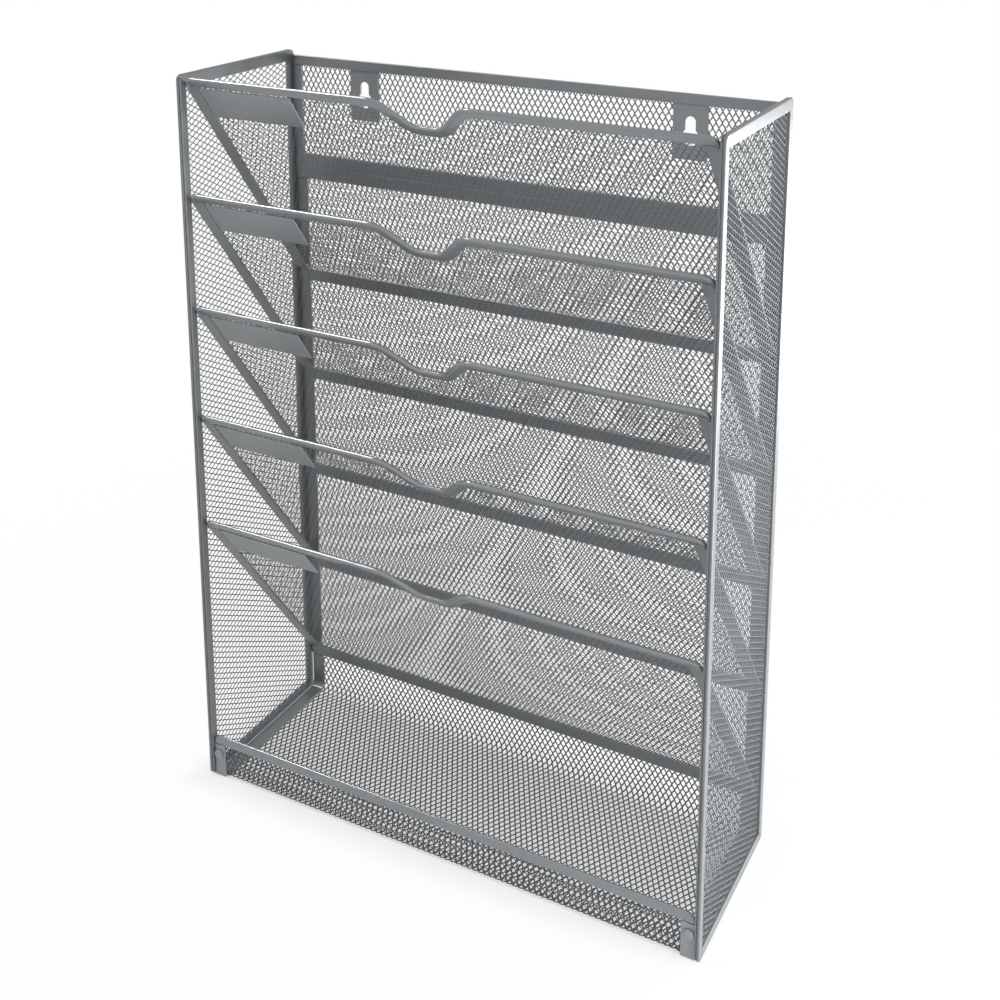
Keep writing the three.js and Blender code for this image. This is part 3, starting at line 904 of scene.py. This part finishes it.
def bent_hem(line, from_x, to_x, thick):
    """A strip of even thickness that follows a section line, between two places across."""
    hem = copy_of(line)
    bpy.ops.object.mode_set(mode="EDIT")
    bpy.ops.mesh.select_mode(type="VERT")
    bpy.ops.mesh.select_all(action="SELECT")
    bpy.ops.transform.translate(value=(0, 0, from_x))
    bpy.ops.mesh.extrude_region_move(TRANSFORM_OT_translate={"value": (0, 0, to_x - from_x)})
    bpy.ops.object.mode_set(mode="OBJECT")
    finish_modifier(hem, "SOLIDIFY", {"thickness": thick, "offset": 0, "use_even_offset": True})
    round_edges(hem, hem_rounding, 3, 60)
    bpy.ops.object.mode_set(mode="EDIT")
    bpy.ops.mesh.select_all(action="SELECT")
    bpy.ops.mesh.normals_make_consistent(inside=False)
    bpy.ops.object.mode_set(mode="OBJECT")
    smooth_corners(hem)
    stand_up(hem)
    return hem


hem_line = bent_line(
    [
        rim_point + downhill * (rim_tall + seam),
        foot_point,
        Vector((back_plane, back_hem_low.z - seam, 0)),
    ],
    [foot_radius],
)
left_hem = bent_hem(hem_line, first_rim_low.x, left_edge + hem_wide, hem_thick)
copy_down(left_hem, "left_edge_strip", "left_hem", strip_coat)
right_hem = bent_hem(hem_line, right_edge - hem_wide, first_rim_high.x, hem_thick)
copy_down(right_hem, "right_edge_strip", "right_hem", strip_coat)
back_hem = folded_strip(back_hem_low, back_hem_high)
copy_down(back_hem, "back_edge_strip", "back_hem", strip_coat)

# Label plate: a plain thin steel plate, welded to the front of the mesh under the rim's left end.
# The mesh pressed through it is painted near its left end as faint slanted stripes of light
# and shade.
label_left = -0.1493
label_wide = 0.062
label_top = -0.0064
label_tall = 0.0231
label_back = 0.00045
label_thick = 0.0008
label = folded_strip(
    Vector((label_left, label_top - label_tall, label_back)),
    Vector((label_left + label_wide, label_top, label_back + label_thick)),
)
on_slant(label)
painted_stripes_strongest = label_left + 0.008
painted_stripes_faded = label_left + 0.028
painted_stripes_pitch = 0.0036
painted_mesh_stripes = (painted_stripes_strongest, painted_stripes_faded, painted_stripes_pitch)
label_coat = powder_coat("coat_on_labels", (0.285, 0.3, 0.31), 0.45, 0.38, 0.2, painted_mesh_stripes)
copy_down(label, "label_plate_steel", "label_plate", label_coat)

# Tray: a mesh sheet bent up at the front and the back, with folded strips along its sides and its
# back. Its strands are wider than those of the other sheets, and its coat is a darker copy of the
# one paint, which paints the shade that falls on the tray.
lip_low, lip_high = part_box("tray_lip_rail")
tray_back_low, tray_back_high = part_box("tray_back_hem")
tray_left_low, tray_left_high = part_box("tray_left_hem")
tray_right_low, tray_right_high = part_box("tray_right_hem")
lip_plane = (lip_low.y + lip_high.y) / 2
floor_plane = hem_thick / 2
lip_tuck = 0.003
tray_side_tuck = 0.004
tray_front_radius = 0.0016
tray_back_radius = 0.005
tray_strand_wider = 0.00014
tray_line = bent_line(
    [
        Vector((lip_plane, lip_low.z + lip_tuck, 0)),
        Vector((lip_plane, floor_plane, 0)),
        Vector((back_plane, floor_plane, 0)),
        Vector((back_plane, tray_back_low.z + strip_tuck, 0)),
    ],
    [tray_front_radius, tray_back_radius],
)
tray_sheet = expanded_sheet(
    line_length(tray_line),
    right_edge - left_edge - 2 * tray_side_tuck,
    keep_all,
    strand_deep,
    tray_strand_wider,
)
bend_along(tray_sheet, tray_line)
stand_up(tray_sheet)
# Painted shade: a darker copy of the one paint for the tray's mesh.
tray_coat_painted_shade = powder_coat("coat_on_tray_mesh_painted_shade", (0.085, 0.093, 0.1), 0.3, 0.4, 0.15)
hand_over(tray_sheet, "tray_expanded_mesh", ["tray_mesh"], tray_coat_painted_shade)

tray_hem_line = bent_line(
    [
        Vector((tray_left_low.y, floor_plane, 0)),
        Vector((back_plane, floor_plane, 0)),
        Vector((back_plane, tray_back_low.z - seam, 0)),
    ],
    [tray_back_radius],
)
floor_slit = 0.0009
tray_back_rounding = 0.0007
for node, from_x, to_x in (
    ("tray_left_hem", tray_left_low.x + floor_slit, tray_left_high.x),
    ("tray_right_hem", tray_right_low.x, tray_right_high.x - floor_slit),
):
    strip = bent_hem(tray_hem_line, from_x, to_x, hem_thick)
    hand_over(strip, f"{node}_strip", [node], strip_coat)
tray_back = folded_strip(tray_back_low, tray_back_high, tray_back_rounding)
hand_over(tray_back, "tray_back_hem_strip", ["tray_back_hem"], strip_coat)

# Lip of the tray: a strip along the top of its front, rounded at its two ends, with an end tab
# at each side that a domed screw holds. The strip and the tabs are one run of folded steel.
lip_corner = 0.0045
lip_rounding = 0.00078
tab_rounding = 0.0004
deselect_all()
bpy.ops.mesh.primitive_cube_add(size=1, location=(lip_low + lip_high) / 2)
lip = bpy.context.object
lip.scale = lip_high - lip_low
apply_place(lip)


def at_top_end(edge, mesh):
    a, b = (mesh.vertices[i].co for i in edge.vertices)
    return abs(a.x - b.x) < 1e-6 and min(a.z, b.z) > lip_high.z - 1e-5


select_in(lip, "EDGE", at_top_end)
bpy.ops.mesh.bevel(offset=lip_corner, segments=6, affect="EDGES")
bpy.ops.object.mode_set(mode="OBJECT")
round_edges(lip, lip_rounding, 5, 50)
smooth_corners(lip)
hand_over(lip, "tray_lip_strip", ["tray_lip_rail"], rim_coat)
for side in ("left", "right"):
    tab = folded_strip(*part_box(f"tray_{side}_tab"), tab_rounding)
    hand_over(tab, f"tray_{side}_tab_plate", [f"tray_{side}_tab"], plate_coat)

# Screws of the tray: steel, one through each end tab, with a shallow domed head at the front and
# a short shank behind it. Their paint is a little glossier than that of the tabs.
screw_coat = powder_coat("coat_on_screws", (0.275, 0.29, 0.30), 0.45, 0.32, 0.1)
shank_radius = 0.0015
head_room = 0.0003
screw_shift = 0.0008
head_rim = 0.0006
dome_steps = ((0.18, 0.00045), (0.25, 0.0003), (0.3, 0.00015))


def domed_screw(low, high, outward):
    """A shallow dome on a flat head with a short shank behind it, head to the front."""
    head_radius = (high.x - low.x) / 2 - head_room
    centre = Vector(((low.x + high.x) / 2 + outward * screw_shift, low.y, (low.z + high.z) / 2))
    dome_rise = sum(step[1] for step in dome_steps)
    deselect_all()
    bpy.ops.mesh.primitive_cylinder_add(
        vertices=48,
        radius=head_radius,
        depth=head_rim,
        location=centre + Vector((0, dome_rise + head_rim / 2, 0)),
        rotation=(math.pi / 2, 0, 0),
    )
    screw = bpy.context.object
    apply_place(screw)
    select_in(screw, "FACE", lambda face, mesh: face.normal.y < -0.9)
    for share, rise in dome_steps:
        bpy.ops.mesh.inset(thickness=head_radius * share, depth=rise)
    bpy.ops.object.mode_set(mode="OBJECT")
    select_in(screw, "FACE", lambda face, mesh: face.normal.y > 0.9)
    bpy.ops.mesh.inset(thickness=head_radius - shank_radius, depth=0)
    shank = high.y - low.y - dome_rise - head_rim
    bpy.ops.mesh.extrude_region_move(TRANSFORM_OT_translate={"value": (0, shank, 0)})
    bpy.ops.object.mode_set(mode="OBJECT")
    choose(screw)
    bpy.ops.object.shade_smooth_by_angle(angle=math.radians(40))
    return screw


for side, outward in (("left", -1), ("right", 1)):
    node = f"tray_{side}_screw"
    screw = domed_screw(*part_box(node), outward)
    hand_over(screw, f"{node}_domed", [node], screw_coat)

# The drawn section lines are no pieces of the organizer.
for line in (sheet_line, hem_line, tray_line, tray_hem_line):
    bpy.data.objects.remove(line)
